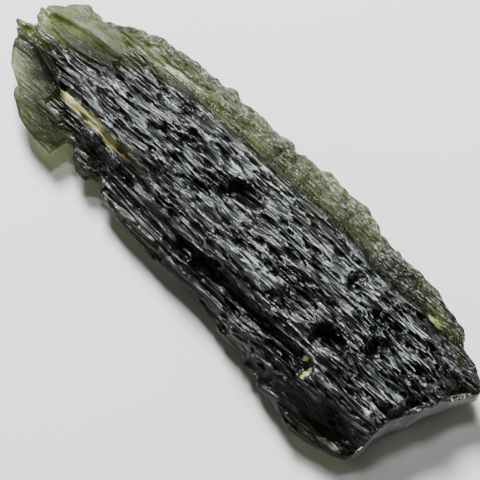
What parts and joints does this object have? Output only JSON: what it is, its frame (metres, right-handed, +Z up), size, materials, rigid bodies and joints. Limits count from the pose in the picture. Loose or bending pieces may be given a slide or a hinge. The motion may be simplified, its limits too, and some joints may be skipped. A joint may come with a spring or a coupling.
{
  "type": "moldavite",
  "caption": "Long flat splinter of natural green glass with a sculpted, flow-grooved surface, one thin see-through end and margin, and a broken end.",
  "frame": {"origin": "centre of the stone's box in plan, on the surface that it rests on", "axes": "+X along the stone towards its thick broken end, +Y towards the thin frosted margin, +Z up out of the face that is seen when the stone lies down"},
  "size_m": [0.0544, 0.0194, 0.0066],
  "materials": {
    "moldavite_glass": "natural bottle-green glass, etched satin to bright, black where thick and olive where thin"
  },
  "bodies": {
    "root": {"moldavite": "moldavite_glass"}
  },
  "joints": []
}
